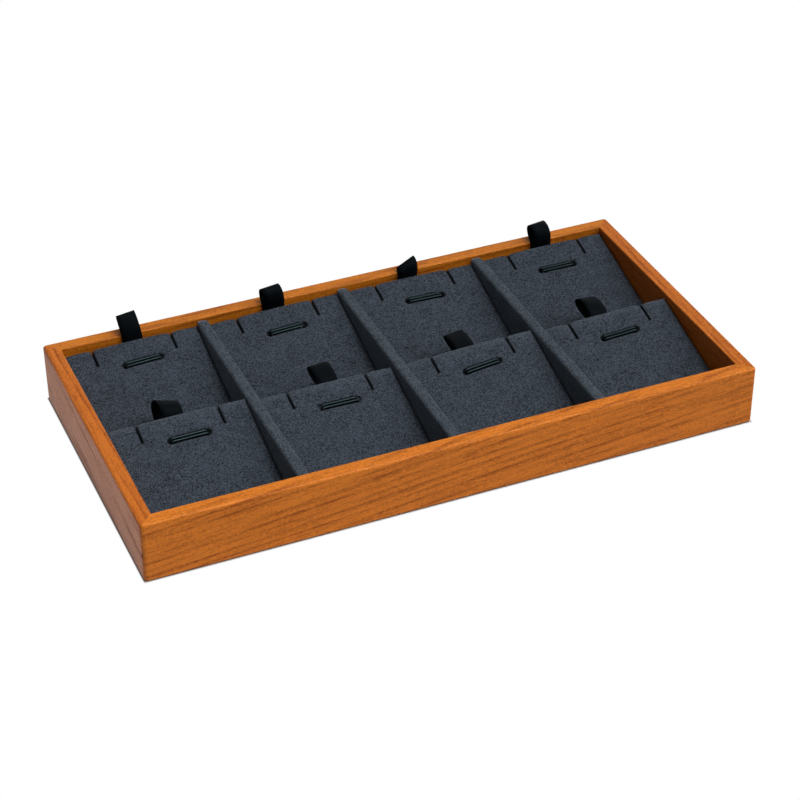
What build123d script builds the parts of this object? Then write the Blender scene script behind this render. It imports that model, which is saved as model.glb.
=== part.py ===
from build123d import *
# Jewelry display tray: a mitred wooden frame on a recessed base panel, three covered dividers
# and eight sloped inserts that lift out, each with a soft pad, an elastic and a pull ribbon.
# Millimetres. X runs along the tray, Y from the front to the back, Z up.
# The origin is the middle of the footprint, on the surface that the tray stands on.
import os
from math import asin, atan2, cos, pi, sin, sqrt, tan
from typing import NamedTuple

# Frame
TRAY_WIDTH = 350.0
TRAY_DEPTH = 178.0
TRAY_HEIGHT = 35.5
RAIL_THICKNESS = 8.5
CORNER_ROUND = 2.2
OUTER_EDGE_ROUND = 1.4
INNER_EDGE_ROUND = 0.7

# Hidden splines across the mitres
SPLINE_THICKNESS = 1.6
SPLINE_WIDTH = 5.0
SPLINE_END_MARGIN = 4.5
SPLINE_INSET = 5.6
SPLINE_CLEARANCE = 0.1

# Base panel in its grooves, and the lining on it
BASE_RECESS = 2.0
BASE_THICKNESS = 2.5
GROOVE_DEPTH = 3.5
PANEL_PLAY = 0.4
LINING_THICKNESS = 0.7

# Dividers, one covered strip between each two columns of inserts
COLUMNS = 4
ROWS = ("front", "back")
DIVIDER_THICKNESS = 6.5
DIVIDER_DROP = 1.2
DIVIDER_SHOULDER = 1.6
COVER_THICKNESS = 0.75

# Room round each insert
INSERT_SIDE_GAP = 0.4
INSERT_FRONT_GAP = 0.3
INSERT_REST_GAP = 0.2
RIBBON_GAP = 0.4

# Pad, board and folded card stand of an insert
PAD_DROP = 3.4
PAD_FRONT_HEIGHT = 4.3
PAD_THICKNESS = 2.2
PAD_CROWN = 0.5
PAD_EDGE_ROUND = 1.3
PAD_CORNER_ROUND = 1.8
PAD_SKIRT = 0.7
BOARD_THICKNESS = 1.8
CARD_THICKNESS = 1.6
CARD_FOLD_ROUND = 1.0
CHEEK_START = 12.0

# Chain slits, cut in from the back edge of the pad and its board
SLIT_SPACING = 45.6
SLIT_LENGTH = 12.0
SLIT_WIDTH = 1.0

# Elastic cord, wound twice through two holes and knotted under the board
CORD_DIAMETER = 1.3
CORD_SPACING = 1.8
CORD_BEND_RADIUS = 1.4
CORD_SINK = 0.5
CORD_CLEARANCE = 0.1
KNOT_DIAMETER = 3.4
KNOT_DROP = 3.4
KNOT_TAIL_LENGTH = 3.0
KNOT_TAIL_TURN = 35.0
ELASTIC_SPAN = 21.0
ELASTIC_OFFSET = 2.0
ELASTIC_FROM_BACK = 17.2
HOLE_CLEARANCE = 0.3

# Pull ribbon, a strip doubled into a loop, its ends glued to the back of the stand
RIBBON_WIDTH = 11.6
RIBBON_THICKNESS = 0.5
RIBBON_GLUED_LENGTH = 16.0

# How far a cutting shape runs past what it cuts
CUT_OVERRUN = 1.0


class Ribbon(NamedTuple):
    """How one ribbon stands: offset is sideways from the middle of its insert, bend is the height
    over the pad's back edge where its legs part, reach and rise place the loop's round nose
    behind the insert and over that edge, nose is its radius and lean turns it sideways."""
    offset: float
    bend: float
    reach: float
    rise: float
    nose: float
    lean: float


RIBBONS = {
    "front_1": Ribbon(offset=-1.4, bend=-0.5, reach=17.0, rise=-2.0, nose=6.5, lean=0.0),
    "front_2": Ribbon(offset=1.4, bend=-1.2, reach=16.5, rise=-0.4, nose=1.9, lean=0.0),
    "front_3": Ribbon(offset=-1.4, bend=-1.2, reach=18.0, rise=-3.0, nose=2.6, lean=0.0),
    "front_4": Ribbon(offset=-3.0, bend=-0.9, reach=18.5, rise=-1.8, nose=4.2, lean=0.0),
    "back_1": Ribbon(offset=1.0, bend=5.2, reach=8.4, rise=12.6, nose=1.0, lean=-6.3),
    "back_2": Ribbon(offset=0.7, bend=4.2, reach=7.8, rise=9.0, nose=3.4, lean=-4.4),
    "back_3": Ribbon(offset=-1.2, bend=4.2, reach=6.6, rise=6.0, nose=1.8, lean=0.0),
    "back_4": Ribbon(offset=0.2, bend=4.4, reach=8.4, rise=8.6, nose=3.7, lean=-5.0),
}

inner_width = TRAY_WIDTH - 2 * RAIL_THICKNESS
inner_depth = TRAY_DEPTH - 2 * RAIL_THICKNESS
panel_top = BASE_RECESS + BASE_THICKNESS
floor_height = panel_top + LINING_THICKNESS

cell_width = (inner_width - (COLUMNS - 1) * DIVIDER_THICKNESS) / COLUMNS
cell_depth = inner_depth / len(ROWS)
column_pitch = cell_width + DIVIDER_THICKNESS

insert_width = cell_width - 2 * INSERT_SIDE_GAP
insert_back_room = 2 * RIBBON_THICKNESS + RIBBON_GAP
insert_depth = cell_depth - INSERT_FRONT_GAP - insert_back_room
insert_foot = floor_height + INSERT_REST_GAP

# The pad's back edge hangs from the rim and its front edge stands on the lining
pad_back_height = TRAY_HEIGHT - PAD_DROP
pad_rise = pad_back_height - floor_height - PAD_FRONT_HEIGHT
slope_length = sqrt(insert_depth**2 + pad_rise**2)
slope_sine = pad_rise / slope_length
slope_cosine = insert_depth / slope_length
board_back_height = pad_back_height - PAD_THICKNESS / slope_cosine

# The slope's own frame: on top of the board at its back edge, Y up the slope, Z square to it
slope_plane = Plane(
    origin=(0, insert_depth, board_back_height),
    x_dir=(1, 0, 0),
    z_dir=(0, -slope_sine, slope_cosine),
)


def column_centre(column):
    """X of the middle of a column of inserts, columns counted from 1 at the left."""
    return (column - (COLUMNS + 1) / 2) * column_pitch


def row_front(row):
    """Y of the front faces of a row of inserts."""
    return ROWS.index(row) * cell_depth - inner_depth / 2 + INSERT_FRONT_GAP


# Frame: one rounded ring, cut at 45 degrees into four rails
def frame_ring():
    ring = extrude(RectangleRounded(TRAY_WIDTH, TRAY_DEPTH, CORNER_ROUND), TRAY_HEIGHT)
    levels = ring.edges().group_by(Axis.Z)
    ring = fillet(levels[0] + levels[-1], OUTER_EDGE_ROUND)
    ring -= extrude(Rectangle(inner_width, inner_depth), TRAY_HEIGHT)
    rim = ring.edges().group_by(Axis.Z)[-1]
    inner_rim = rim.filter_by(
        lambda edge: abs(edge.center().X) <= inner_width / 2 + 0.01
        and abs(edge.center().Y) <= inner_depth / 2 + 0.01
    )
    ring = fillet(inner_rim, INNER_EDGE_ROUND)
    groove = Rectangle(inner_width + 2 * GROOVE_DEPTH, inner_depth + 2 * GROOVE_DEPTH)
    return ring - Pos(0, 0, BASE_RECESS) * extrude(groove, BASE_THICKNESS)


def mitre_splines(clearance):
    """Four upright strips, each across one mitre and blind at both ends."""
    length = TRAY_HEIGHT - panel_top - 2 * SPLINE_END_MARGIN + 2 * clearance
    strip = Box(
        SPLINE_WIDTH + 2 * clearance,
        SPLINE_THICKNESS + 2 * clearance,
        length,
        align=(Align.CENTER, Align.CENTER, Align.MIN),
    )
    step = SPLINE_INSET / sqrt(2)
    foot = panel_top + SPLINE_END_MARGIN - clearance
    splines = []
    for side in (-1, 1):
        for end in (-1, 1):
            place = Pos(side * (inner_width / 2 + step), end * (inner_depth / 2 + step), foot)
            splines.append(place * Rot(0, 0, -45 * side * end) * strip)
    return Compound(splines)


def mitre_block(side):
    """A plan trapezoid that holds one rail between its two mitre planes."""
    half_long, half_short = TRAY_WIDTH / 2, TRAY_DEPTH / 2
    if side in ("left", "right"):
        half_long, half_short = half_short, half_long
    outer = -CUT_OVERRUN
    inner = RAIL_THICKNESS + CUT_OVERRUN
    outline = Polyline(
        (-half_long + outer, -half_short + outer),
        (half_long - outer, -half_short + outer),
        (half_long - inner, -half_short + inner),
        (-half_long + inner, -half_short + inner),
        close=True,
    )
    turn = {"front": 0, "right": 90, "back": 180, "left": -90}[side]
    return Rot(0, 0, turn) * extrude(make_face(outline), TRAY_HEIGHT)


# Base
def base_panel():
    play = GROOVE_DEPTH - PANEL_PLAY
    sheet = Rectangle(inner_width + 2 * play, inner_depth + 2 * play)
    return Pos(0, 0, BASE_RECESS) * extrude(sheet, BASE_THICKNESS)


def base_lining():
    return Pos(0, 0, panel_top) * extrude(Rectangle(inner_width, inner_depth), LINING_THICKNESS)


# Dividers
def divider_section(width, top, shoulder):
    """A strip's end view, standing on the lining, with rounded shoulders."""
    section = Rectangle(width, top - floor_height, align=(Align.CENTER, Align.MIN))
    section = fillet(section.vertices().group_by(Axis.Y)[-1], shoulder)
    return Plane.XZ * Pos(0, floor_height) * section


def divider_core():
    section = divider_section(
        DIVIDER_THICKNESS - 2 * COVER_THICKNESS,
        TRAY_HEIGHT - DIVIDER_DROP - COVER_THICKNESS,
        DIVIDER_SHOULDER - COVER_THICKNESS,
    )
    return extrude(section, inner_depth / 2, both=True)


def divider_cover():
    section = divider_section(DIVIDER_THICKNESS, TRAY_HEIGHT - DIVIDER_DROP, DIVIDER_SHOULDER)
    return extrude(section, inner_depth / 2, both=True) - divider_core()


# Insert: everything below is in the insert's own frame, with Y from its front face
def insert_block(inset=0.0):
    """The upright block over the insert's footprint, less an inset all round."""
    width = insert_width - 2 * inset
    depth = insert_depth - 2 * inset
    block = Box(width, depth, TRAY_HEIGHT, align=(Align.CENTER, Align.MIN, Align.MIN))
    return Pos(0, inset, insert_foot) * block


def slope_slab(section):
    """A section in the slope's X and Z, run down the slope past both ends of the insert."""
    middle = Pos(0, -slope_length / 2, 0)
    return slope_plane * middle * extrude(Plane.XZ * section, slope_length, both=True)


def slope_cutter(outline):
    """An outline on the slope, run square through pad and board."""
    return slope_plane * extrude(outline, PAD_THICKNESS + BOARD_THICKNESS, both=True)


def slits():
    """Two straight cuts down the slope from the back edge, each with a round end."""
    length = SLIT_LENGTH + CUT_OVERRUN
    straight = Pos(0, CUT_OVERRUN - length / 2) * Rectangle(SLIT_WIDTH, length)
    slit = straight + Pos(0, -SLIT_LENGTH) * Circle(SLIT_WIDTH / 2)
    outline = Sketch() + [Pos(side * SLIT_SPACING / 2, 0) * slit for side in (-1, 1)]
    return slope_cutter(outline)


def cord_holes():
    radius = (CORD_SPACING + CORD_DIAMETER) / 2 + HOLE_CLEARANCE
    holes = [
        Pos(ELASTIC_OFFSET + side * ELASTIC_SPAN / 2, -ELASTIC_FROM_BACK) * Circle(radius)
        for side in (-1, 1)
    ]
    return slope_cutter(Sketch() + holes)


def cord_dent():
    """The shallow dent that the tight cord presses into the pad between its holes."""
    width = CORD_SPACING + CORD_DIAMETER + 2 * CORD_CLEARANCE
    dent = extrude(Rectangle(ELASTIC_SPAN, width), PAD_THICKNESS)
    height = PAD_THICKNESS - CORD_SINK
    return slope_plane * Pos(ELASTIC_OFFSET, -ELASTIC_FROM_BACK, height) * dent


def board_blank():
    section = Pos(0, -BOARD_THICKNESS / 2) * Rectangle(insert_width, BOARD_THICKNESS)
    return slope_slab(section) & insert_block(PAD_SKIRT)


def board():
    return board_blank() - slits() - cord_holes()


def pad():
    """Crowned over the board, with rounded edges and a skirt round the board's edges."""
    half = insert_width / 2
    shoulder = PAD_THICKNESS - PAD_CROWN
    crown = ThreePointArc((half, shoulder), (0, PAD_THICKNESS), (-half, shoulder))
    sides = Polyline(
        (-half, shoulder),
        (-half, -BOARD_THICKNESS),
        (half, -BOARD_THICKNESS),
        (half, shoulder),
    )
    cushion = slope_slab(make_face(crown + sides)) & insert_block()
    cushion = fillet(cushion.edges().filter_by(Axis.Z), PAD_CORNER_ROUND)
    top = cushion.faces().sort_by(Axis(slope_plane.origin, slope_plane.z_dir))[-1]
    cushion = fillet(top.edges(), PAD_EDGE_ROUND)
    return cushion - board_blank() - slits() - cord_holes() - cord_dent()


def stand():
    """One card folded to a U: a back leg and two cheeks, cut to the slope of the board."""
    depth = insert_depth - CHEEK_START
    shape = Rectangle(insert_width, depth, align=(Align.CENTER, Align.MAX))
    shape = fillet(shape.vertices().group_by(Axis.Y)[-1], CARD_FOLD_ROUND)
    hollow = Rectangle(insert_width - 2 * CARD_THICKNESS, depth, align=(Align.CENTER, Align.MAX))
    shape = Pos(0, insert_depth) * (shape - Pos(0, -CARD_THICKNESS) * hollow)
    card = Pos(0, 0, insert_foot) * extrude(shape, TRAY_HEIGHT)
    above = Rectangle(2 * insert_width, TRAY_HEIGHT, align=(Align.CENTER, Align.MIN))
    return card - slope_slab(Pos(0, -BOARD_THICKNESS) * above)


def cord_route():
    """Corner points of the cord on the slope, from the knot round both turns and back to it."""
    over = PAD_THICKNESS - CORD_SINK + CORD_CLEARANCE + CORD_DIAMETER / 2
    under = -BOARD_THICKNESS - CORD_CLEARANCE - CORD_DIAMETER / 2
    left = ELASTIC_OFFSET - ELASTIC_SPAN / 2
    right = ELASTIC_OFFSET + ELASTIC_SPAN / 2
    high = -ELASTIC_FROM_BACK + CORD_SPACING / 2
    low = -ELASTIC_FROM_BACK - CORD_SPACING / 2
    knot = under - KNOT_DROP
    return [
        (ELASTIC_OFFSET, high, knot),
        (left, high, under),
        (left, high, over),
        (right, high, over),
        (right, high, under),
        (left, low, under),
        (left, low, over),
        (right, low, over),
        (right, low, under),
        (ELASTIC_OFFSET, low, knot),
    ]


def cord_gap(path, samples=400):
    """Least gap of the cord to itself, measured between points on its middle line."""
    points = [path.position_at(step / samples) for step in range(samples + 1)]
    apart = int(6 * CORD_DIAMETER / path.length * samples)
    nearest = min(
        (points[i] - points[j]).length
        for i in range(len(points))
        for j in range(i + apart, len(points))
    )
    return nearest - CORD_DIAMETER


def elastic():
    route = cord_route()
    path = FilletPolyline(*route, radius=CORD_BEND_RADIUS)
    print("elastic: length", round(path.length, 1), "least gap to itself", round(cord_gap(path), 2))
    cord = sweep(Plane(origin=path @ 0, z_dir=path % 0) * Circle(CORD_DIAMETER / 2), path)
    knot_place = Pos(ELASTIC_OFFSET, -ELASTIC_FROM_BACK, route[0][2])
    knot = Sphere(KNOT_DIAMETER / 2)
    tail = Cylinder(
        CORD_DIAMETER / 2,
        KNOT_DIAMETER / 2 + KNOT_TAIL_LENGTH,
        align=(Align.CENTER, Align.CENTER, Align.MAX),
    )
    for turn in (-KNOT_TAIL_TURN, KNOT_TAIL_TURN):
        knot += Rot(turn, 0, 0) * tail
    return slope_plane * (cord + knot_place * knot)


def loop_side_view(ribbon):
    """A doubled tail that parts into two straight legs, joined by a round nose."""
    parting = Vector(RIBBON_THICKNESS, pad_back_height + ribbon.bend)
    centre = Vector(ribbon.reach - ribbon.nose, pad_back_height + ribbon.rise)
    inner_nose = ribbon.nose - RIBBON_THICKNESS
    run = centre - parting
    spread = asin(inner_nose / run.length)
    feet = []
    outer_ends = []
    inner_ends = []
    for side in (1, -1):
        bearing = atan2(run.Y, run.X) + side * spread
        square = Vector(-sin(bearing), cos(bearing)) * side
        step = Vector(-1, tan(pi / 4 - bearing / 2)) * RIBBON_THICKNESS
        feet.append(parting + step * side)
        outer_ends.append(centre + square * ribbon.nose)
        inner_ends.append(centre + square * inner_nose)
    ahead = run.normalized()
    tail_end = pad_back_height - RIBBON_GLUED_LENGTH
    tail = Polyline(
        outer_ends[0],
        feet[0],
        (0, tail_end),
        (2 * RIBBON_THICKNESS, tail_end),
        feet[1],
        outer_ends[1],
    )
    outer = tail + ThreePointArc(outer_ends[1], centre + ahead * ribbon.nose, outer_ends[0])
    inner = Polyline(inner_ends[0], parting, inner_ends[1])
    inner += ThreePointArc(inner_ends[1], centre + ahead * inner_nose, inner_ends[0])
    return make_face(outer) - make_face(inner)


def ribbon_loop(ribbon):
    """A loop over a doubled, glued tail that lies flat on the back of the stand."""
    strip = extrude(Plane.YZ * loop_side_view(ribbon), RIBBON_WIDTH / 2, both=True)
    pivot = Pos(ribbon.offset, insert_depth, pad_back_height)
    return pivot * Rot(0, ribbon.lean, 0) * Pos(0, 0, -pad_back_height) * strip


def make_tray():
    """Every piece of the tray by name, in place."""
    pieces = {}
    ring = frame_ring() - mitre_splines(SPLINE_CLEARANCE)
    for side in ("front", "back", "left", "right"):
        pieces[f"{side}_rail"] = ring & mitre_block(side)
    pieces["mitre_splines"] = mitre_splines(0)
    pieces["base_panel"] = base_panel()
    pieces["base_lining"] = base_lining()
    for number in range(1, COLUMNS):
        place = Pos(column_centre(number) + column_pitch / 2, 0, 0)
        pieces[f"divider_core_{number}"] = place * divider_core()
        pieces[f"divider_cover_{number}"] = place * divider_cover()
    shared = {"board": board(), "stand": stand(), "pad": pad(), "elastic": elastic()}
    for row in ROWS:
        for column in range(1, COLUMNS + 1):
            place = Pos(column_centre(column), row_front(row), 0)
            for kind, solid in shared.items():
                pieces[f"{kind}_{row}_{column}"] = place * solid
            ribbon = RIBBONS[f"{row}_{column}"]
            pieces[f"ribbon_{row}_{column}"] = place * ribbon_loop(ribbon)
    return pieces


os.makedirs("parts", exist_ok=True)
for name, piece in make_tray().items():
    piece.label = name
    export_step(piece, f"parts/{name}.step")
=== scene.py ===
import math

import bmesh
import bpy
from mathutils import Euler, Matrix, Vector, geometry, noise


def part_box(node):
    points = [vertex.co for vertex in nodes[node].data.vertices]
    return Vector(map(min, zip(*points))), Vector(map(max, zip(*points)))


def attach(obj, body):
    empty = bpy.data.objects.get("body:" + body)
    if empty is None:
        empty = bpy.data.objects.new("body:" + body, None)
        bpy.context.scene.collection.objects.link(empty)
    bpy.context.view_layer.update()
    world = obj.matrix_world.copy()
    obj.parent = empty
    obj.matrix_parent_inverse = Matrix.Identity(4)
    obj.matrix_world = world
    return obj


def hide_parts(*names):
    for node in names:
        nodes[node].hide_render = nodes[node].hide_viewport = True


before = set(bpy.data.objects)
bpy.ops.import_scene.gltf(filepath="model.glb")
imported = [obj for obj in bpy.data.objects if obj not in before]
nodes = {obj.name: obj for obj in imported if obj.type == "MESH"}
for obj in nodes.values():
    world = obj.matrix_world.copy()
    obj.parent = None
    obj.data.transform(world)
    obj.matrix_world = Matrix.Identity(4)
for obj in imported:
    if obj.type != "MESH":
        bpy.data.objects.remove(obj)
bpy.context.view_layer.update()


# ---------------------------------------------------------------------------------------------
# Camera. It stands left of the tray's middle and looks down on it from as far off as a long lens
# needs, turned very slightly on its own axis.
CAMERA_TARGET = Vector((0.00545, 0.00805, 0.0))
CAMERA_DISTANCE = 1.24
CAMERA_AZIMUTH = math.radians(-22.892)
CAMERA_ELEVATION = math.radians(34.659)
CAMERA_ROLL = math.radians(-0.416)
camera = bpy.data.objects.new("Camera", bpy.data.cameras.new("Camera"))
camera.data.sensor_width = 36.0
camera.data.lens = 99.54
camera.data.clip_start = 0.05
turn = Euler((math.pi / 2 - CAMERA_ELEVATION, 0, CAMERA_AZIMUTH)).to_matrix().to_4x4()
turn = turn @ Matrix.Rotation(CAMERA_ROLL, 4, "Z")
back_off = Matrix.Translation((0, 0, CAMERA_DISTANCE))
camera.matrix_world = Matrix.Translation(CAMERA_TARGET) @ turn @ back_off
bpy.context.scene.collection.objects.link(camera)
bpy.context.scene.camera = camera


# ---------------------------------------------------------------------------------------------
# Rails. Four solid wood rails, mitred at the corners, sanded round on their edges, stained a warm
# orange brown and given a thin satin lacquer. The growth rings run out of the faces at a slight
# angle, so each face shows long darker streaks.
def tint(red, green, blue):
    """A colour from its 8-bit screen values."""
    shades = (v / 3294.6 if v <= 10 else ((v / 255 + 0.055) / 1.055) ** 2.4 for v in (red, green, blue))
    return (*shades, 1.0)


def put(tree, kind, inputs, **settings):
    """A node with its settings, and its inputs set to values or linked from sockets."""
    made = tree.nodes.new(kind)
    for name, value in settings.items():
        setattr(made, name, value)
    for name, value in inputs.items():
        if isinstance(value, bpy.types.NodeSocket):
            tree.links.new(value, made.inputs[name])
        else:
            made.inputs[name].default_value = value
    return made


def maths(tree, operation, *values, clamp=False):
    """A number worked out from numbers and sockets."""
    made = put(tree, "ShaderNodeMath", dict(enumerate(values)), operation=operation, use_clamp=clamp)
    return made.outputs[0]


def spread(tree, value, low, high, at_low=0.0, at_high=1.0):
    """A value that runs from low to high made to run between two others, and held at its ends."""
    inputs = {"Value": value, "From Min": low, "From Max": high, "To Min": at_low, "To Max": at_high}
    return put(tree, "ShaderNodeMapRange", inputs).outputs[0]


def blend(tree, share, first, second):
    """A share of the second colour laid over the first."""
    made = put(tree, "ShaderNodeMix", {"Factor": share, "A": first, "B": second}, data_type="RGBA")
    return made.outputs["Result"]


def ramp(tree, value, stops):
    """Greys between (position, grey) stops."""
    made = put(tree, "ShaderNodeValToRGB", {"Fac": value})
    elements = made.color_ramp.elements
    while len(elements) < len(stops):
        elements.new(0.5)
    for element, (position, grey) in zip(elements, stops):
        element.position = position
        element.color = (grey, grey, grey, 1.0)
    return made.outputs["Color"]


def new_group(name, inputs, outputs):
    """An empty shader node group with named inputs and outputs."""
    group = bpy.data.node_groups.new(name, "ShaderNodeTree")
    for label, kind, value in inputs:
        socket = group.interface.new_socket(label, in_out="INPUT", socket_type=kind)
        if value is not None:
            socket.default_value = value
    for label, kind in outputs:
        group.interface.new_socket(label, in_out="OUTPUT", socket_type=kind)
    return group, group.nodes.new("NodeGroupInput").outputs, group.nodes.new("NodeGroupOutput").inputs


def new_material(name):
    """A material, its node tree and its shader."""
    material = bpy.data.materials.new(name)
    material.use_nodes = True
    return material, material.node_tree, material.node_tree.nodes["Principled BSDF"]


def roughen(tree, shader, height, strength, distance):
    """Raises a shader's surface by a height. The distance is in metres."""
    bump = put(tree, "ShaderNodeBump", {"Height": height, "Strength": strength, "Distance": distance})
    tree.links.new(bump.outputs[0], shader.inputs["Normal"])


def millimetres(tree, rotation=(0, 0, 0), scale=(1, 1, 1)):
    """Object coordinates in millimetres, turned and stretched."""
    place = put(tree, "ShaderNodeTexCoord", {}).outputs["Object"]
    in_mm = put(tree, "ShaderNodeVectorMath", {0: place, "Scale": 1000.0}, operation="SCALE")
    inputs = {"Vector": in_mm.outputs[0], "Rotation": rotation, "Scale": scale}
    return put(tree, "ShaderNodeMapping", inputs).outputs[0]


def streaky_noise(tree, vector, stretch, detail, roughness):
    """Noise of a millimetre's size, drawn out along the axes by their stretch."""
    drawn = put(tree, "ShaderNodeMapping", {"Vector": vector, "Scale": stretch}).outputs[0]
    inputs = {"Vector": drawn, "Scale": 1.0, "Detail": detail, "Roughness": roughness}
    return put(tree, "ShaderNodeTexNoise", inputs).outputs["Fac"]


ORANGE_PALE, ORANGE_DARK = tint(220, 125, 33), tint(146, 70, 11)
AMBER_PALE, AMBER_DARK = tint(206, 119, 26), tint(137, 68, 12)
BROWN_PALE, BROWN_DARK = tint(203, 111, 29), tint(138, 60, 8)
WORN = tint(238, 190, 138)
# The colour of the painted contact shade at the rails' bottom edge.
PAINTED_FOOT_SHADE = tint(70, 58, 48)
# A wave texture of scale 1 repeats after this distance.
WAVE_LENGTH = 2 * math.pi / 20


def wood_grain():
    """Growth rings round the X axis, fibres and pores along it. Vector is in millimetres."""
    inputs = [
        ("Vector", "NodeSocketVector", None),
        ("Pale", "NodeSocketColor", ORANGE_PALE),
        ("Dark", "NodeSocketColor", ORANGE_DARK),
        ("Ring", "NodeSocketFloat", 4.0),
    ]
    outputs = [
        ("Color", "NodeSocketColor"),
        ("Height", "NodeSocketFloat"),
        ("Roughness", "NodeSocketFloat"),
    ]
    group, given, result = new_group("Wood grain", inputs, outputs)
    vector = given["Vector"]
    waves = {
        "Vector": put(group, "ShaderNodeMapping", {"Vector": vector, "Scale": (0.11, 1, 1)}).outputs[0],
        "Scale": maths(group, "DIVIDE", WAVE_LENGTH, given["Ring"]),
        "Distortion": 6.5,
        "Detail": 3.0,
        "Detail Scale": 0.4,
        "Detail Roughness": 0.6,
    }
    profile = {"wave_type": "RINGS", "rings_direction": "X", "wave_profile": "SAW"}
    rings = put(group, "ShaderNodeTexWave", waves, **profile)
    stops = [(0.0, 0.25), (0.35, 0.0), (0.7, 0.45), (0.88, 1.0), (1.0, 0.35)]
    late_wood = ramp(group, rings.outputs["Fac"], stops)
    patches = streaky_noise(group, vector, (0.02, 0.16, 0.16), 2.0, 0.5)
    streaks = maths(group, "MULTIPLY", late_wood, spread(group, patches, 0.35, 0.65, 0.1, 1.0))
    shade = maths(group, "MULTIPLY", streaks, 0.75)
    bands = ((0.022, 0.5, 0.5), 2.0, 1.1)
    fibres = ((0.1, 1.1, 1.1), 3.0, 1.0)
    pores = ((0.6, 1.3, 1.3), 2.0, 1.6)
    for stretch, detail, share in (bands, fibres, pores):
        centred = maths(group, "SUBTRACT", streaky_noise(group, vector, stretch, detail, 0.6), 0.5)
        shade = maths(group, "MULTIPLY_ADD", centred, share, shade)
    shade = maths(group, "ADD", shade, 0.15, clamp=True)
    group.links.new(blend(group, shade, given["Pale"], given["Dark"]), result["Color"])
    group.links.new(maths(group, "MULTIPLY_ADD", shade, -1.0, 1.0), result["Height"])
    group.links.new(spread(group, shade, 0.0, 1.0, 0.42, 0.58), result["Roughness"])
    return group


grain_group = wood_grain()


def stained_wood(name, pale, dark, turned, centre, tilt):
    """Stained rail wood: turned lays the grain along Y, centre is the heart of the rings across the grain
    and tilt is the run-out of the grain. The front's top edge is chipped pale in specks and every rail's
    bottom edge is darkened by painted contact shade."""
    material, tree, shader = new_material(name)
    along = millimetres(tree, rotation=(0, 0, -math.pi / 2 if turned else 0))
    inputs = {"Vector": along, "Location": (0, *centre), "Rotation": (0, *tilt)}
    tilted = put(tree, "ShaderNodeMapping", inputs).outputs[0]
    inputs = {"Vector": tilted, "Ring": 4.3, "Pale": pale, "Dark": dark}
    grain = put(tree, "ShaderNodeGroup", inputs, node_tree=grain_group)
    place = put(tree, "ShaderNodeSeparateXYZ", {"Vector": millimetres(tree)})
    near_top = spread(tree, place.outputs["Z"], 34.1, 35.1)
    near_front = spread(tree, place.outputs["Y"], -87.6, -88.3)
    inputs = {"Vector": millimetres(tree, scale=(0.55, 1, 1)), "Scale": 1.0, "Detail": 3.0}
    specks = put(tree, "ShaderNodeTexNoise", inputs).outputs["Fac"]
    chips = spread(tree, specks, 0.69, 0.72)
    worn = maths(tree, "MULTIPLY", maths(tree, "MULTIPLY", near_top, near_front), chips)
    colour = blend(tree, worn, grain.outputs["Color"], WORN)
    # Painted contact shade: the rails darken from 0.9 mm above the floor, and are fully dark at 0.3 mm.
    foot = spread(tree, place.outputs["Z"], 0.9, 0.3)
    tree.links.new(blend(tree, foot, colour, PAINTED_FOOT_SHADE), shader.inputs["Base Color"])
    tree.links.new(grain.outputs["Roughness"], shader.inputs["Roughness"])
    roughen(tree, shader, grain.outputs["Height"], 0.35, 0.00012)
    shader.inputs["Specular IOR Level"].default_value = 0.2
    return material


def dress(node, material):
    """Gives a CAD node its material."""
    nodes[node].data.materials.clear()
    nodes[node].data.materials.append(material)


RAILS = {
    "front": (ORANGE_PALE, ORANGE_DARK, False, (108.0, 34.0), (0.085, -0.015)),
    "back": (AMBER_PALE, AMBER_DARK, False, (-60.0, 52.0), (0.03, 0.015)),
    "left": (BROWN_PALE, BROWN_DARK, True, (210.0, 61.0), (0.02, -0.02)),
    "right": (BROWN_PALE, BROWN_DARK, True, (-150.0, 47.0), (-0.03, 0.02)),
}
for side, wood in RAILS.items():
    dress(f"{side}_rail", stained_wood(f"Stained {side} rail", *wood))


# ---------------------------------------------------------------------------------------------
# Mitre splines and base panel. The splines are slips of plain beech glued across the mitres, and
# the panel is a thin sheet of fibreboard that floats in the rails' grooves.
def plain_wood():
    material, tree, shader = new_material("Plain beech")
    upright = millimetres(tree, rotation=(0, math.pi / 2, 0))
    inputs = {"Vector": upright, "Pale": tint(222, 190, 150), "Dark": tint(180, 140, 100)}
    grain = put(tree, "ShaderNodeGroup", inputs, node_tree=grain_group)
    tree.links.new(grain.outputs["Color"], shader.inputs["Base Color"])
    roughen(tree, shader, grain.outputs["Height"], 0.3, 0.0001)
    shader.inputs["Roughness"].default_value = 0.65
    return material


def pressed_fibres():
    """Short fibres pressed every way, as in fibreboard, grey board and card."""
    inputs = [
        ("Vector", "NodeSocketVector", None),
        ("Pale", "NodeSocketColor", None),
        ("Dark", "NodeSocketColor", None),
    ]
    outputs = [("Color", "NodeSocketColor"), ("Height", "NodeSocketFloat")]
    group, given, result = new_group("Pressed fibres", inputs, outputs)
    vector = given["Vector"]
    clouds = put(group, "ShaderNodeTexNoise", {"Vector": vector, "Scale": 0.12, "Detail": 3.0})
    inputs = {"Vector": vector, "Scale": 1.6, "Detail": 4.0, "Distortion": 1.5}
    fine = put(group, "ShaderNodeTexNoise", inputs)
    inputs = {"Vector": vector, "Scale": 0.9}
    cells = put(group, "ShaderNodeTexVoronoi", inputs, feature="DISTANCE_TO_EDGE")
    strands = spread(group, cells.outputs["Distance"], 0.0, 0.12, 1.0, 0.0)
    height = maths(group, "MULTIPLY_ADD", strands, 0.25, fine.outputs["Fac"])
    height = maths(group, "ADD", height, clouds.outputs["Fac"])
    share = spread(group, height, 0.65, 1.45)
    group.links.new(blend(group, share, given["Dark"], given["Pale"]), result["Color"])
    group.links.new(height, result["Height"])
    return group


fibre_group = pressed_fibres()


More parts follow.
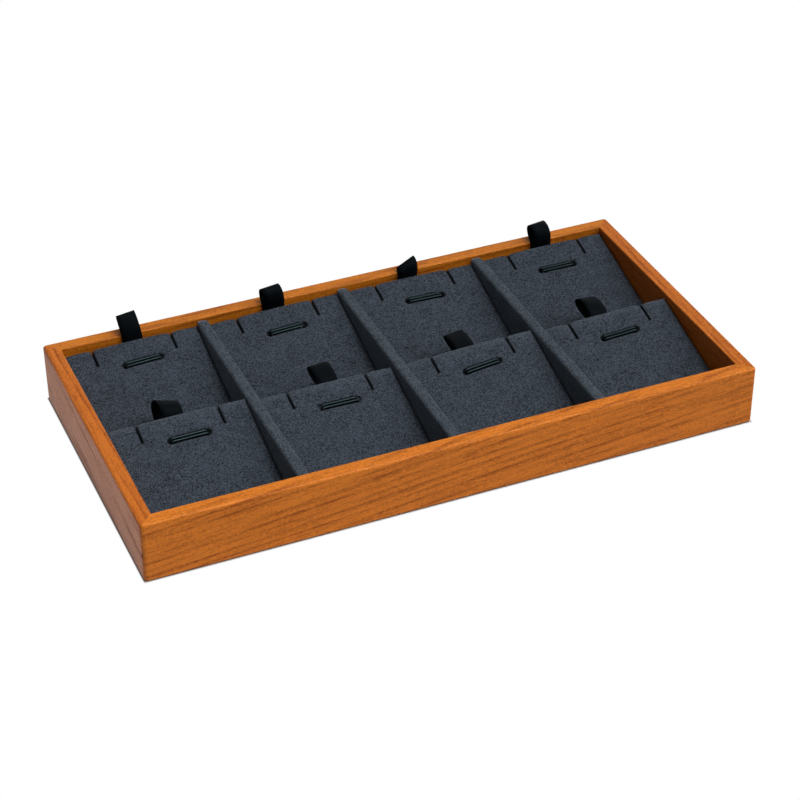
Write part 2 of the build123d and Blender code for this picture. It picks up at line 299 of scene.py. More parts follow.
def board_material(name, pale, dark, roughness):
    material, tree, shader = new_material(name)
    inputs = {"Vector": millimetres(tree), "Pale": pale, "Dark": dark}
    fibres = put(tree, "ShaderNodeGroup", inputs, node_tree=fibre_group)
    tree.links.new(fibres.outputs["Color"], shader.inputs["Base Color"])
    roughen(tree, shader, fibres.outputs["Height"], 0.4, 0.0001)
    shader.inputs["Roughness"].default_value = roughness
    return material


dress("mitre_splines", plain_wood())
dress("base_panel", board_material("Fibreboard", tint(170, 132, 96), tint(118, 86, 60), 0.75))


# ---------------------------------------------------------------------------------------------
# Base lining. Dark slate microfibre, cut to the inside of the frame and glued down on the panel.
# It shows only where an insert has been lifted out.
SLATE = tint(76, 84, 95)
SLATE_SHADE = tint(9, 12, 16)
# Painted shade laid over the pads' nap by their shading attribute.
PAINTED_SHADE = tint(3, 4, 5)
# A painted highlight laid over the pads' nap by their shading attribute.
PAINTED_HIGHLIGHT = tint(122, 131, 142)


def suede_nap():
    """The short brushed nap of microfibre: fine specks, soft clouds where it has been stroked."""
    inputs = [
        ("Vector", "NodeSocketVector", None),
        ("Pale", "NodeSocketColor", SLATE),
        ("Dark", "NodeSocketColor", SLATE_SHADE),
    ]
    outputs = [("Color", "NodeSocketColor"), ("Height", "NodeSocketFloat")]
    group, given, result = new_group("Suede nap", inputs, outputs)
    vector = given["Vector"]
    fine = put(group, "ShaderNodeTexNoise", {"Vector": vector, "Scale": 1.8, "Detail": 0.0})
    tufts = spread(group, fine.outputs["Fac"], 0.4, 0.6)
    cells = put(group, "ShaderNodeTexVoronoi", {"Vector": vector, "Scale": 1.55})
    hairs = put(group, "ShaderNodeSeparateColor", {"Color": cells.outputs["Color"]}).outputs["Red"]
    wide = put(group, "ShaderNodeTexNoise", {"Vector": vector, "Scale": 0.11, "Detail": 2.0})
    clouds = spread(group, wide.outputs["Fac"], 0.3, 0.7, -0.06, 0.06)
    share = maths(group, "MULTIPLY_ADD", tufts, 0.45, clouds)
    share = maths(group, "MULTIPLY_ADD", hairs, 0.55, share, clamp=True)
    group.links.new(blend(group, share, given["Dark"], given["Pale"]), result["Color"])
    group.links.new(share, result["Height"])
    return group


nap_group = suede_nap()


def microfibre(name, pale, dark, sheen=0.15):
    """Microfibre. The mesh's own attribute paints shade into the colour, up to 1, and a painted
    highlight, down to -1."""
    material, tree, shader = new_material(name)
    inputs = {"Vector": millimetres(tree), "Pale": pale, "Dark": dark}
    nap = put(tree, "ShaderNodeGroup", inputs, node_tree=nap_group)
    painted_shading = put(tree, "ShaderNodeAttribute", {}, attribute_name="painted_shading").outputs["Fac"]
    # A painted highlight where the attribute is below 0.
    colour = blend(tree, spread(tree, painted_shading, 0.0, -1.0), nap.outputs["Color"], PAINTED_HIGHLIGHT)
    # Painted shade where the attribute is above 0.
    colour = blend(tree, spread(tree, painted_shading, 0.0, 1.0), colour, PAINTED_SHADE)
    tree.links.new(colour, shader.inputs["Base Color"])
    roughen(tree, shader, nap.outputs["Height"], 0.6, 0.00025)
    shader.inputs["Roughness"].default_value = 0.95
    shader.inputs["Specular IOR Level"].default_value = 0.15
    shader.inputs["Sheen Weight"].default_value = sheen
    shader.inputs["Sheen Tint"].default_value = tint(190, 215, 240)
    shader.inputs["Sheen Roughness"].default_value = 0.4
    return material


def place_mesh(mesh, name, body, material, slot, *replaced):
    """Turns a finished bmesh, in metres, into a piece that rides on a body."""
    data = bpy.data.meshes.new(name)
    mesh.to_mesh(data)
    mesh.free()
    data.shade_smooth()
    piece = bpy.data.objects.new(name, data)
    bpy.context.scene.collection.objects.link(piece)
    data.materials.append(material)
    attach(piece, body)
    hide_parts(*replaced)
    return piece


def cut_across(mesh, axis, places):
    """Cuts a mesh by planes square to an axis, keeping both sides."""
    normal = Vector((0, 0, 0))
    normal[axis] = 1.0
    for place in places:
        everything = mesh.verts[:] + mesh.edges[:] + mesh.faces[:]
        bmesh.ops.bisect_plane(mesh, geom=everything, dist=1e-7, plane_co=normal * place, plane_no=normal)


LINING_GRID = 0.004
LINING_UNEVEN = 0.00012
low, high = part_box("base_lining")
lining = bmesh.new()
bmesh.ops.create_cube(lining, size=1.0)
bmesh.ops.scale(lining, vec=high - low, verts=lining.verts)
bmesh.ops.translate(lining, vec=(high + low) / 2, verts=lining.verts)
for axis in (0, 1):
    count = int((high[axis] - low[axis]) / LINING_GRID)
    step = (high[axis] - low[axis]) / count
    cut_across(lining, axis, [low[axis] + step * i for i in range(1, count)])
for vert in lining.verts:
    if vert.co.z > high.z - 1e-6:
        vert.co.z -= LINING_UNEVEN * (0.5 + 0.5 * noise.noise(vert.co * 60))
slate_lining = microfibre("Slate microfibre lining", SLATE, SLATE_SHADE)
lining_piece = place_mesh(lining, "lining", "frame", slate_lining, "microfibre", "base_lining")


# ---------------------------------------------------------------------------------------------
# Dividers. Each is an upright strip of grey board with rounded shoulders, covered with the same
# slate microfibre, which is wrapped up one side, over the top and down the other.
COVER_THICKNESS = 0.00075
COVER_SHOULDER = 0.0016
COVER_GRID = 0.0025
COVER_SWAY = 0.00011
COVER_DIP = 0.00007
COVER_TOP = 0.004
END_LENGTH = 0.003
END_TUCK = 0.16
END_DROP = 0.0007
slate_divider = microfibre("Slate microfibre divider", tint(84, 92, 101), tint(16, 20, 24), 0.3)
grey_board = board_material("Grey board", tint(150, 146, 138), tint(112, 108, 102), 0.85)


def divider_cover(node, seed):
    """The wrapped cover as one U section, run along the strip, then made slightly uneven."""
    low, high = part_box(node)
    inner = COVER_THICKNESS
    section = [
        (low.x, low.z),
        (low.x, high.z),
        (high.x, high.z),
        (high.x, low.z),
        (high.x - inner, low.z),
        (high.x - inner, high.z - inner),
        (low.x + inner, high.z - inner),
        (low.x + inner, low.z),
    ]
    cover = bmesh.new()
    cover.faces.new([cover.verts.new((x, low.y, z)) for x, z in section])
    run = bmesh.ops.extrude_face_region(cover, geom=cover.faces[:], use_keep_orig=True)
    moved = [v for v in run["geom"] if isinstance(v, bmesh.types.BMVert)]
    bmesh.ops.translate(cover, vec=(0, high.y - low.y, 0), verts=moved)
    bmesh.ops.recalc_face_normals(cover, faces=cover.faces[:])
    for level, radius in ((high.z, COVER_SHOULDER), (high.z - inner, COVER_SHOULDER - inner)):
        edges = [e for e in cover.edges if all(abs(v.co.z - level) < 1e-6 for v in e.verts)]
        edges = [e for e in edges if abs(e.verts[0].co.y - e.verts[1].co.y) > 0.1]
        round_off = {"offset": radius, "segments": 6, "profile": 0.5, "affect": "EDGES"}
        bmesh.ops.bevel(cover, geom=edges, material=-1, **round_off)
    steps = int((high.y - low.y) / COVER_GRID)
    cut_across(cover, 1, [low.y + (high.y - low.y) * i / steps for i in range(1, steps)])
    middle = (low.x + high.x) / 2
    for vert in cover.verts:
        y = vert.co.y
        sway = noise.noise(Vector((seed, y * 45, vert.co.z * 60)))
        at_end = max(0.0, 1 - min(y - low.y, high.y - y) / END_LENGTH) ** 2
        vert.co.x += COVER_SWAY * sway + (middle - vert.co.x) * END_TUCK * at_end
        if vert.co.z > high.z - COVER_TOP:
            dip = noise.noise(Vector((seed + 3, y * 60, vert.co.x * 200)))
            vert.co.z -= COVER_DIP * (1 + dip) + END_DROP * at_end
    return cover


for number in (1, 2, 3):
    dress(f"divider_core_{number}", grey_board)
    node = f"divider_cover_{number}"
    cover = divider_cover(node, 7.0 * number)
    piece = place_mesh(cover, f"wrapped_cover_{number}", "frame", slate_divider, "microfibre", node)


# ---------------------------------------------------------------------------------------------
# Boards and stands. Every insert has a stiff grey board under its pad, and one card folded into a
# U that holds the board up on its slope. Neither shows until the insert is lifted out.
COLUMNS = (1, 2, 3, 4)
ROWS = ("front", "back")
folded_card = board_material("Folded card", tint(62, 60, 60), tint(40, 39, 40), 0.8)
for row in ROWS:
    for column in COLUMNS:
        dress(f"board_{row}_{column}", grey_board)
        dress(f"stand_{row}_{column}", folded_card)


# ---------------------------------------------------------------------------------------------
# Pads. Thin foam under slate microfibre that is drawn over the board's edges. Each has two slits
# for chains, cut in from its back edge, and two holes for its elastic, which presses a groove in
# the pad between them. All sizes here are in millimetres on the slope, from the pad's back edge.
PAD_WIDTH = 77.575
PAD_LENGTH = 81.975
PAD_SLOPE = math.radians(16)
PAD_THICKNESS = 2.2
PAD_CROWN = 0.5
PAD_END_DIP = 0.12
PAD_SIDE_DIP = 0.4
PAD_WAVE = 0.05
PAD_EDGE_ROUND = 1.3
PAD_CORNER_ROUND = 1.8
PAD_SKIRT = 0.7
PAD_GLUE = 0.03
BOARD_THICKNESS = 1.8
PAD_BACK_HEIGHT = 32.1
BOARD_BACK_HEIGHT = PAD_BACK_HEIGHT - PAD_THICKNESS / math.cos(PAD_SLOPE)
SLIT_SIDE = 22.8
SLIT_HALF = 0.52
SLIT_END = -12.5
SLIT_LIP = 0.5
SLIT_MOUTH = 9.0
SLIT_SKIN = 0.07
HOLE_RADIUS = 1.75
HOLE_ROUNDED_TO = 3.4
HOLE_DIP = 0.75
ELASTIC_MIDDLE = 2.0
ELASTIC_HALF = 10.0
ELASTIC_DOWN = -17.2
GROOVE_HALF = 2.55
GROOVE_DEPTH = 0.85
HOLLOW_HALF = 5.0
HOLLOW_DEPTH = 0.3
PAD_GRID = 0.95
GRID_GAP = 0.42
slate_pad = microfibre("Slate microfibre pad", SLATE, SLATE_SHADE)


# How each insert's pad has settled: what its top gains at its left and right edges, and how far up
# the slope its elastic has been pulled at its left and right holes.
SETTLED = {
    "front_1": dict(lift=(1.5, 2.0), pulled=(2.0, 2.15)),
    "front_2": dict(lift=(-0.6, -0.3), pulled=(1.45, 1.25)),
    "front_3": dict(lift=(-0.6, 1.8), pulled=(1.0, 2.8)),
    "front_4": dict(lift=(-0.3, 1.5), pulled=(0.55, 1.3)),
    "back_1": dict(lift=(0.1, 0.8), pulled=(1.15, 2.05)),
    "back_2": dict(lift=(-0.2, 1.1), pulled=(0.15, 0.8)),
    "back_3": dict(lift=(0.9, 0.2), pulled=(0.15, -0.4)),
    "back_4": dict(lift=(0.7, 1.2), pulled=(-0.4, -0.5)),
}


def lifted(settled, u):
    left, right = settled["lift"]
    return left + (right - left) * (u / PAD_WIDTH + 0.5)


def pulled(settled, u):
    left, right = settled["pulled"]
    return left + (right - left) * (0.5 + (u - ELASTIC_MIDDLE) / (2 * ELASTIC_HALF))


def grid_lines(low, high, fixed):
    """Evenly spaced lines between two edges, giving way to the fixed ones."""
    count = round((high - low) / PAD_GRID)
    even = [low + (high - low) * i / count for i in range(1, count)]
    kept = [line for line in even if all(abs(line - other) > GRID_GAP for other in fixed)]
    return sorted(kept + fixed)


def flat_pad():
    """The pad's plan with its slits and holes cut out, then raised one unit, in millimetres."""
    pad = bmesh.new()
    bmesh.ops.create_grid(pad, x_segments=1, y_segments=1, size=0.5)
    bmesh.ops.scale(pad, vec=(PAD_WIDTH, PAD_LENGTH, 1), verts=pad.verts)
    bmesh.ops.translate(pad, vec=(0, -PAD_LENGTH / 2, 0), verts=pad.verts)
    from_edge = (0.12, 0.35, 0.65, 0.75, 1.0, 1.3, 1.75, 2.4, 3.3)
    from_slit = (SLIT_HALF, 0.65, 0.85, 1.1, 1.45, 1.9, 2.6, 3.6)
    from_hole = (0.75, HOLE_RADIUS, 1.95, 2.15, 2.4, 2.7, 3.3)
    both = (-1, 1)
    across = [side * (PAD_WIDTH / 2 - step) for side in both for step in from_edge]
    across += [side * SLIT_SIDE + way * step for side in both for way in both for step in from_slit]
    holes = [ELASTIC_MIDDLE + side * ELASTIC_HALF for side in both]
    across += [hole + way * step for hole in holes for way in both for step in from_hole]
    down = [-step for step in from_edge] + [step - PAD_LENGTH for step in from_edge]
    down += [SLIT_END - step for step in (0, 0.15, 0.4, 0.8)]
    down += [ELASTIC_DOWN + way * step for way in both for step in from_hole]
    cut_across(pad, 0, grid_lines(-PAD_WIDTH / 2, PAD_WIDTH / 2, sorted(set(across))))
    cut_across(pad, 1, grid_lines(-PAD_LENGTH, 0, sorted(set(down))))
    cut_out = []
    for face in pad.faces:
        u, v = face.calc_center_median().xy
        in_slit = abs(abs(u) - SLIT_SIDE) < SLIT_HALF and v > SLIT_END
        beside = abs(abs(u - ELASTIC_MIDDLE) - ELASTIC_HALF)
        in_hole = beside < HOLE_RADIUS and abs(v - ELASTIC_DOWN) < HOLE_RADIUS
        if in_slit or in_hole:
            cut_out.append(face)
    bmesh.ops.delete(pad, geom=cut_out, context="FACES")
    grown = bmesh.ops.extrude_face_region(pad, geom=pad.faces[:], use_keep_orig=True)["geom"]
    bmesh.ops.translate(pad, vec=(0, 0, 1), verts=[v for v in grown if isinstance(v, bmesh.types.BMVert)])
    return pad


def rounded(distance, radius):
    """How far a rounded edge lies below the flat at a distance from the edge."""
    if distance >= radius:
        return 0.0
    return radius - math.sqrt(max(radius**2 - (radius - distance) ** 2, 0.0))


def eased(value):
    value = min(max(value, 0.0), 1.0)
    return value * value * (3 - 2 * value)


def squared_to_round(du, dv):
    """The share that brings a point on a square ring onto the circle inside it."""
    length = math.hypot(du, dv)
    return max(abs(du), abs(dv)) / length if length > 0 else 1.0


def nearest_hole(u):
    return ELASTIC_MIDDLE + math.copysign(ELASTIC_HALF, u - ELASTIC_MIDDLE)


def rounded_plan(u, v, side, end):
    """Draws the plan's square corners and square holes round."""
    if side < PAD_CORNER_ROUND and end < PAD_CORNER_ROUND:
        share = squared_to_round(PAD_CORNER_ROUND - side, PAD_CORNER_ROUND - end)
        u += math.copysign((PAD_CORNER_ROUND - side) * (share - 1), u)
        v += math.copysign((PAD_CORNER_ROUND - end) * (share - 1), v + PAD_LENGTH / 2)
    hole = nearest_hole(u)
    du, dv = u - hole, v - ELASTIC_DOWN
    square = max(abs(du), abs(dv))
    if HOLE_RADIUS - 0.01 < square < HOLE_ROUNDED_TO:
        fade = eased((HOLE_ROUNDED_TO - square) / (HOLE_ROUNDED_TO - HOLE_RADIUS))
        share = 1 + (squared_to_round(du, dv) - 1) * fade
        return hole + du * share, ELASTIC_DOWN + dv * share
    return u, v


def pad_top(u, v, to_edge, to_slit, to_cord):
    """The height of the pad's top: its crown, soft edges, slit lips, groove and hole dips."""
    w = PAD_THICKNESS - PAD_CROWN * (2 * u / PAD_WIDTH) ** 2
    w -= PAD_END_DIP * (2 * v / PAD_LENGTH + 1) ** 4
    w -= rounded(to_edge, PAD_EDGE_ROUND)
    mouth = eased((v + SLIT_MOUTH) / SLIT_MOUTH)
    w -= rounded(to_slit, SLIT_LIP) + (0.1 + 0.5 * mouth) * math.exp(-((to_slit / (1.2 + mouth)) ** 2))
    hollow = HOLLOW_DEPTH * eased((HOLLOW_HALF - to_cord) / 3.0)
    w -= hollow + GROOVE_DEPTH * eased((GROOVE_HALF - to_cord) / 0.6)
    to_hole = max(math.hypot(u - nearest_hole(u), v - ELASTIC_DOWN) - HOLE_RADIUS, 0)
    return w - HOLE_DIP * math.exp(-((to_hole / 0.8) ** 2))


def paint_shading(u, v, side, to_slit, to_cord, row):
    """How much shade or highlight is painted on the pad: painted shade up to 1 in the groove and at the
    slits and sides. The front row gets a painted highlight, below 0, along its back fold, and the back
    row painted shade at its low left."""
    in_groove, in_slit = eased((2.6 - to_cord) / 0.3), eased((0.55 - to_slit) / 0.4)
    shaded = max(in_groove, in_slit, 0.9 * eased((1.0 - side) / 0.6))
    if row == "back":
        # Painted shade at the back row's low left.
        return max(shaded, 0.16 * eased((60 - v - PAD_LENGTH) / 50) * eased((20 - u) / 40))
    # The front row's back fold gets a painted highlight.
    return shaded if shaded > 0.02 else -0.1 * eased(1 + v / 6) - 0.3 * eased(1 + v / 1.2)


def shape_pad(pad, seed, settled, row):
    """Shapes the raised plan into one insert's pad, its skin turned down into the slits."""
    painted_shading = pad.verts.layers.float.new("painted_shading")
    for vert in pad.verts:
        u, v, top = vert.co.x, vert.co.y, vert.co.z > 0.5
        side, end = PAD_WIDTH / 2 - abs(u), min(-v, v + PAD_LENGTH)
        at_corner = side < PAD_CORNER_ROUND and end < PAD_CORNER_ROUND
        u, v = rounded_plan(u, v, side, end)
        to_edge = min(side, end) if at_corner else min(PAD_WIDTH / 2 - abs(u), -v, v + PAD_LENGTH)
        to_slit = math.hypot(max(abs(abs(u) - SLIT_SIDE) - SLIT_HALF, 0), max(SLIT_END - v, 0))
        to_cord = math.hypot(max(abs(u - ELASTIC_MIDDLE) - ELASTIC_HALF, 0), v - ELASTIC_DOWN)
        if top:
            w = pad_top(u, v, to_edge, to_slit, to_cord)
            w += PAD_WAVE * noise.noise(Vector((u / 9, v / 9, seed))) * eased(to_edge / 3)
            w += lifted(settled, u) - PAD_SIDE_DIP * math.exp(-side / 2.6)
            # Painted shade in the groove, at the slits and at the sides, and each row's painted highlight
            # or shade, kept on the vertex.
            vert[painted_shading] = paint_shading(u, v, side, to_slit, to_cord, row)
            beside, along = abs(v - ELASTIC_DOWN), abs(u - ELASTIC_MIDDLE)
            v += pulled(settled, u) * (eased((15 - beside) / 10) * eased((19 - along) / 5))
        else:
            # The underside lies on the board's glue and a skirt hangs down over the board's edges.
            w = PAD_GLUE if to_edge > PAD_SKIRT else -BOARD_THICKNESS
            # Painted shade on the skin turned down into the slits.
            vert[painted_shading] = eased((0.6 - to_slit) / 0.4)
            if to_slit < 0.01:
                # The skin in a slit stops short of the board's underside and stands off its wall.
                w = 0.1 - BOARD_THICKNESS
                u += math.copysign(SLIT_SKIN, SLIT_SIDE - abs(u)) * math.copysign(1, u)
        near_end = 1 - eased((end - 1.5) / 4)
        vert.co = (u, v + w * math.tan(PAD_SLOPE) * near_end, w)


def insert_slope(row, column):
    """From millimetres on an insert's slope to metres in the tray."""
    low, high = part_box(f"pad_{row}_{column}")
    back_edge = Matrix.Translation(((low.x + high.x) / 2, high.y, BOARD_BACK_HEIGHT / 1000))
    return back_edge @ Matrix.Rotation(PAD_SLOPE, 4, "X") @ Matrix.Scale(0.001, 4)


plan = flat_pad()
for row in ROWS:
    for column in COLUMNS:
        node, body = f"pad_{row}_{column}", f"insert_{row}_{column}"
        pad = plan.copy()
        seed = 10.0 * column + (5.0 if row == "back" else 0.0)
        shape_pad(pad, seed, SETTLED[f"{row}_{column}"], row)
        bmesh.ops.recalc_face_normals(pad, faces=pad.faces[:])
        bmesh.ops.transform(pad, matrix=insert_slope(row, column), verts=pad.verts)
        piece = place_mesh(pad, f"cushion_{row}_{column}", body, slate_pad, "microfibre", node)
plan.free()


# ---------------------------------------------------------------------------------------------
# Elastics. One length of round black elastic is passed twice over the pad and down through the
# two holes, and its ends are knotted under the board. The two strands lie side by side.
CORD_RADIUS = 0.64
CORD_OVER = 1.85
CORD_UNDER = -2.55
STRAND = 0.96
TURN_OVER = 2.4
TURN_UNDER = 2.5
HOLE_LEFT = ELASTIC_MIDDLE - ELASTIC_HALF
HOLE_RIGHT = ELASTIC_MIDDLE + ELASTIC_HALF


def turn_over(strand):
    """Up through the left hole, over the pad and down through the right one."""
    up = [(HOLE_LEFT, strand, w) for w in (CORD_UNDER, -0.3, CORD_OVER)]
    over = [(HOLE_LEFT + TURN_OVER, strand, CORD_OVER), (HOLE_RIGHT - TURN_OVER, strand, CORD_OVER)]
    down = [(HOLE_RIGHT, strand, w) for w in (CORD_OVER, -0.3, CORD_UNDER)]
    return up + over + down


FIRST_TAIL = [
    (2.0, 2.7, -9.8), (2.0, 0.5, -7.2), (1.6, 0.5, -5.4), (HOLE_LEFT + TURN_UNDER, STRAND, -3.4),
]
CROSSING = [
    (HOLE_RIGHT - TURN_UNDER, STRAND, CORD_UNDER), (HOLE_LEFT + TURN_UNDER, -STRAND, CORD_UNDER),
]
LAST_TAIL = [
    (HOLE_RIGHT - TURN_UNDER, -STRAND, -3.4), (2.4, -0.5, -5.4), (2.0, -0.5, -7.2), (2.0, -2.7, -9.8),
]
CORD_ROUTE = FIRST_TAIL + turn_over(STRAND) + CROSSING + turn_over(-STRAND) + LAST_TAIL
KNOT_WRAP = [
    (1.2, 0.2, -6.9), (1.3, 1.5, -6.7), (2.4, 1.6, -6.3), (3.3, 0.6, -6.1),
    (3.2, -0.9, -6.0), (2.0, -1.6, -5.8), (0.8, -0.8, -5.6), (0.8, 0.8, -5.5),
    (2.0, 1.5, -5.3), (3.2, 0.5, -5.5), (2.6, -0.4, -6.2),
]


def elastic_mesh(place, settled):
    """The wound cord and the wrap of its knot, each a round tube along a smooth line."""
    curve = bpy.data.curves.new("Elastic line", "CURVE")
    curve.dimensions = "3D"
    curve.resolution_u = 10
    curve.bevel_depth = CORD_RADIUS
    curve.bevel_resolution = 3
    curve.use_fill_caps = True
    for route in (CORD_ROUTE, KNOT_WRAP):
        spline = curve.splines.new("NURBS")
        spline.points.add(len(route) - 1)
        for point, (u, v, w) in zip(spline.points, route):
            if w == CORD_OVER:
                v, w = v + pulled(settled, u), w + lifted(settled, u)
            point.co = (u, v + ELASTIC_DOWN, w, 1)
        spline.order_u = 3
        spline.use_endpoint_u = True
    line = bpy.data.objects.new("Elastic line", curve)
    data = bpy.data.meshes.new_from_object(line)
    bpy.data.objects.remove(line)
    tube = bmesh.new()
    tube.from_mesh(data)
    bpy.data.meshes.remove(data)
    bmesh.ops.transform(tube, matrix=place, verts=tube.verts)
    return tube


def elastic_material():
    material, tree, shader = new_material("Black elastic")
    inputs = {"Vector": millimetres(tree), "Scale": 6.0, "Detail": 2.0}
    weave = put(tree, "ShaderNodeTexNoise", inputs).outputs["Fac"]
    tree.links.new(blend(tree, weave, tint(4, 6, 7), tint(10, 14, 15)), shader.inputs["Base Color"])
    roughen(tree, shader, weave, 0.15, 0.0001)
    shader.inputs["Roughness"].default_value = 0.22
    shader.inputs["Specular IOR Level"].default_value = 0.34
    shader.inputs["Specular Tint"].default_value = tint(165, 212, 222)
    return material


elastic_finish = elastic_material()
for row in ROWS:
    for column in COLUMNS:
        node = f"elastic_{row}_{column}"
        tube = elastic_mesh(insert_slope(row, column), SETTLED[f"{row}_{column}"])
        name = f"wound_elastic_{row}_{column}"
        place_mesh(tube, name, f"insert_{row}_{column}", elastic_finish, "elastic_cord", node)


# ---------------------------------------------------------------------------------------------
# Pull ribbons. Black satin ribbon, doubled into a loop, its two ends glued flat on the back of the
# stand. The back ones stand up over the rail, the front ones fall back over the pads behind.
def satin():
    material, tree, shader = new_material("Black satin")
    inputs = {"Vector": millimetres(tree, scale=(0.4, 4, 4)), "Scale": 1.0, "Detail": 3.0}
    weave = put(tree, "ShaderNodeTexNoise", inputs).outputs["Fac"]
    tree.links.new(blend(tree, weave, tint(5, 8, 10), tint(13, 18, 21)), shader.inputs["Base Color"])
    shader.inputs["Roughness"].default_value = 0.5
    shader.inputs["Specular IOR Level"].default_value = 0.015
    return material


satin_finish = satin()
RIBBON_HALF = 5.6
RIBBON_THICKNESS = 0.35
GLUED_LENGTH = 16.0
FRONT_LEG = 0.25
BACK_LEG = 0.8
PARTED = 0.05
STRAIGHT_END = 1.2
LOOP_STEPS = 20
# Sideways place of each ribbon on its insert, the heights at which its two legs come free, how
# far its back leg is fanned to the left, its lean, and for both of its edges the pull of the
# curve (back, up) from the front leg and from the back leg. Millimetres and degrees.
LOOPS = {
    "front_1": dict(
        offset=-1.5, free=(0.0, -15.9), fan=0.0, lean=0.0,
        left=(5.7, 16.5, 47.5, 1.0), right=(5.7, 13.0, 35.5, 2.0),
    ),
    "front_2": dict(
        offset=1.8, free=(-1.0, -3.0), fan=0.8, lean=0.0,
        left=(15.0, 7.6, 26.5, -2.4), right=(16.5, 7.5, 27.5, -2.0),
    ),
    "front_3": dict(
        offset=-1.4, free=(-0.8, -5.0), fan=0.0, lean=0.0,
        left=(9.8, 3.5, 32.0, 1.0), right=(11.5, 4.3, 36.5, 0.0),
    ),
    "front_4": dict(
        offset=-3.0, free=(-0.8, -4.5), fan=0.0, lean=0.0,
        left=(7.8, 13.0, 37.5, -2.0), right=(10.5, 7.5, 34.5, 0.5),
    ),
    "back_1": dict(
        offset=1.5, free=(3.2, 4.2), fan=0.2, lean=-6.0,
        left=(1.1, 13.3, 9.6, 17.1), right=(1.9, 11.0, 17.2, 14.0),
    ),
    "back_2": dict(
        offset=1.2, free=(0.8, 3.6), fan=1.9, lean=-4.4,
        left=(-8.5, 17.3, 10.5, 12.5), right=(-7.5, 16.3, 13.0, 12.0),
    ),
    "back_3": dict(
        offset=-1.2, free=(0.8, 3.6), fan=0.6, lean=0.0,
        left=(-4.5, 8.8, 7.5, 3.0), right=(-5.5, 13.8, 13.5, 9.0),
    ),
    "back_4": dict(
        offset=0.5, free=(0.8, 3.6), fan=1.4, lean=-3.5,
        left=(-11.5, 19.8, 15.5, 14.0), right=(-5.5, 17.8, 20.5, 10.5),
    ),
}


def loop_line(free, pull):
    """One edge of the ribbon from its front tail round the loop to its back tail."""
    front, back = Vector((FRONT_LEG + PARTED, free[0])), Vector((BACK_LEG + PARTED, free[1]))
    ahead, behind = front + Vector(pull[:2]), back + Vector(pull[2:])
    up = (-GLUED_LENGTH, (free[0] - GLUED_LENGTH) / 2, free[0] - STRAIGHT_END)
    down = (free[1] - STRAIGHT_END, (free[1] - GLUED_LENGTH) / 2, -GLUED_LENGTH)
    points = [Vector((FRONT_LEG, height)) for height in up]
    points += geometry.interpolate_bezier(front, ahead, behind, back, LOOP_STEPS + 1)
    if free[1] > -GLUED_LENGTH + 2:
        points += [Vector((BACK_LEG, height)) for height in down]
    return points


def loop_stations(loop):
    """Left and right points of the ribbon from one glued end round the loop to the other."""
    edges = zip(loop_line(loop["free"], loop["left"]), loop_line(loop["free"], loop["right"]))
    stations = []
    for step, (left, right) in enumerate(edges):
        aside = -loop["fan"] * eased((step - 3) / LOOP_STEPS)
        left_point = Vector((aside - RIBBON_HALF, *left[:2]))
        right_point = Vector((aside + RIBBON_HALF, *right[:2]))
        stations.append((left_point, right_point))
    return stations


def ribbon_strip(stations):
    """One edge drawn from station to station, and the length of its middle line."""
    strip = bmesh.new()
    left, right = (strip.verts.new(point) for point in stations[0])
    edge = strip.edges.new((left, right))
    length = 0.0
    for before, (to_left, to_right) in zip(stations, stations[1:]):
        drawn = bmesh.ops.extrude_edge_only(strip, edges=[edge])["geom"]
        edge = next(item for item in drawn if isinstance(item, bmesh.types.BMEdge))
        left, right = sorted(edge.verts, key=lambda vert: (vert.co - before[0]).length)
        left.co, right.co = to_left, to_right
        length += ((to_left + to_right) / 2 - (before[0] + before[1]) / 2).length
    return strip, length


for row in ROWS:
    for column in COLUMNS:
        loop = LOOPS[f"{row}_{column}"]
        node = f"ribbon_{row}_{column}"
        strip, length = ribbon_strip(loop_stations(loop))
        low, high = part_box(f"pad_{row}_{column}")
        middle = (low.x + high.x) / 2 + loop["offset"] / 1000
        pivot = Matrix.Translation((middle, high.y, PAD_BACK_HEIGHT / 1000))
        lean = Matrix.Rotation(math.radians(loop["lean"]), 4, "Y")
        bmesh.ops.transform(strip, matrix=pivot @ lean @ Matrix.Scale(0.001, 4), verts=strip.verts)
        name = f"pull_ribbon_{row}_{column}"
        piece = place_mesh(strip, name, f"insert_{row}_{column}", satin_finish, "satin_ribbon", node)
        soft = piece.modifiers.new("Soft", "SUBSURF")
        soft.levels = soft.render_levels = 2
        thick = piece.modifiers.new("Thickness", "SOLIDIFY")
        thick.thickness = RIBBON_THICKNESS / 1000
        thick.offset = 0


# ---------------------------------------------------------------------------------------------
# Studio. A white floor and a white surround, one large soft lamp overhead whose light falls off
# to the right, and a lower one on the right in front. To the camera the floor is plain white but
# for a thin line of shade at the tray's foot.
TRAY_CORNER = (0.175, 0.089, 0.0)
SHADE_REACH = 0.0007
SURROUND_LIGHT = 0.12
SURROUND_MIRRORED = 0.8
scene = bpy.context.scene
scene.view_settings.view_transform = "Standard"

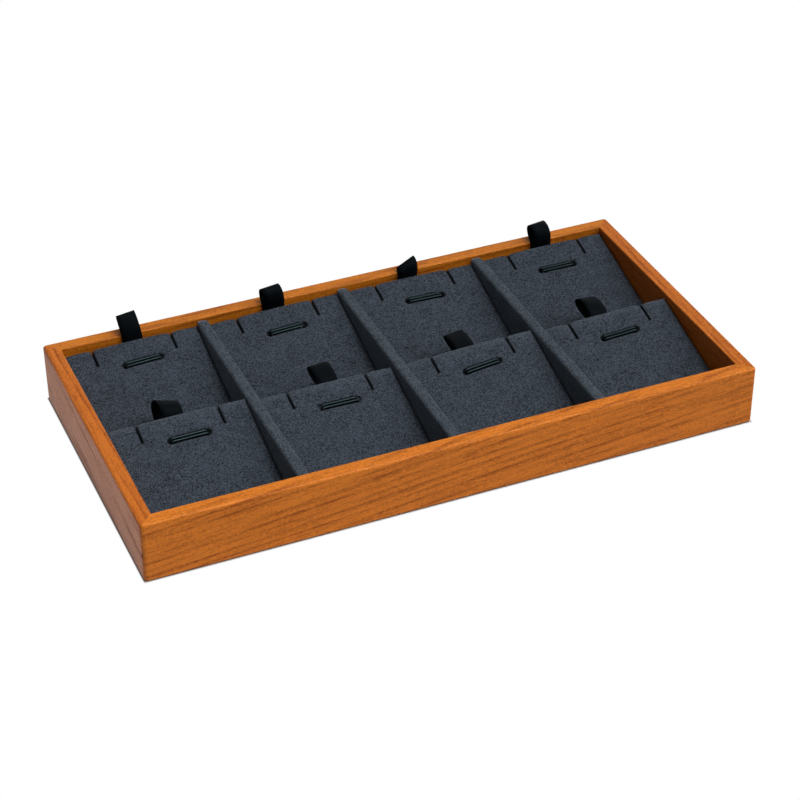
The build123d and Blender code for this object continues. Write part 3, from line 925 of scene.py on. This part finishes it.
floor_mesh = bmesh.new()
bmesh.ops.create_grid(floor_mesh, x_segments=1, y_segments=1, size=4.0)
floor_data = bpy.data.meshes.new("Floor")
floor_mesh.to_mesh(floor_data)
floor_mesh.free()
floor = bpy.data.objects.new("Floor", floor_data)
scene.collection.objects.link(floor)
floor_material, tree, shader = new_material("White floor")
tree.nodes.remove(shader)
rays = put(tree, "ShaderNodeLightPath", {}).outputs
place = put(tree, "ShaderNodeTexCoord", {}).outputs["Object"]
beside = put(tree, "ShaderNodeVectorMath", {0: place}, operation="ABSOLUTE").outputs[0]
beside = put(tree, "ShaderNodeVectorMath", {0: beside, 1: TRAY_CORNER}, operation="SUBTRACT").outputs[0]
beside = put(tree, "ShaderNodeVectorMath", {0: beside, 1: (0, 0, 0)}, operation="MAXIMUM").outputs[0]
away = put(tree, "ShaderNodeVectorMath", {0: beside}, operation="LENGTH").outputs["Value"]
looked_at = maths(tree, "MAXIMUM", rays["Is Camera Ray"], rays["Is Glossy Ray"])
looked_at = maths(tree, "MAXIMUM", looked_at, rays["Is Transmission Ray"])
white = maths(tree, "MULTIPLY", looked_at, spread(tree, away, 0.0, SHADE_REACH))
matte = put(tree, "ShaderNodeBsdfDiffuse", {"Color": (0.6, 0.6, 0.6, 1.0)}).outputs[0]
glow = put(tree, "ShaderNodeEmission", {"Strength": 1.0}).outputs[0]
surface = put(tree, "ShaderNodeMixShader", {0: white, 1: matte, 2: glow}).outputs[0]
tree.links.new(surface, tree.nodes["Material Output"].inputs["Surface"])
floor_data.materials.append(floor_material)

world = bpy.data.worlds.new("White surround")
scene.world = world
world.use_nodes = True
tree = world.node_tree
background = tree.nodes["Background"]
background.inputs["Color"].default_value = (1, 1, 1, 1)
rays = put(tree, "ShaderNodeLightPath", {}).outputs
looked_at = maths(tree, "MAXIMUM", rays["Is Camera Ray"], rays["Is Transmission Ray"])
looked_at = maths(tree, "MULTIPLY_ADD", rays["Is Glossy Ray"], SURROUND_MIRRORED, looked_at)
strength = spread(tree, looked_at, 0.0, 1.0, SURROUND_LIGHT, 1.0)
tree.links.new(strength, background.inputs["Strength"])


def soft_lamp(name, place, aim, size, energy, beam):
    data = bpy.data.lights.new(name, "AREA")
    data.shape = "DISK"
    data.size = size
    data.energy = energy
    data.spread = math.radians(beam)
    lamp = bpy.data.objects.new(name, data)
    lamp.location = place
    lamp.rotation_euler = (Vector(aim) - Vector(place)).to_track_quat("-Z", "Y").to_euler()
    scene.collection.objects.link(lamp)


soft_lamp("Overhead lamp", place=(0.5, -1.0, 3.2), aim=(-1.3, -0.7, 0), size=1.9, energy=32.5, beam=90)
soft_lamp("Side lamp", place=(2.4, -1.2, 2.0), aim=(0, 0, 0), size=2.4, energy=44.0, beam=180)
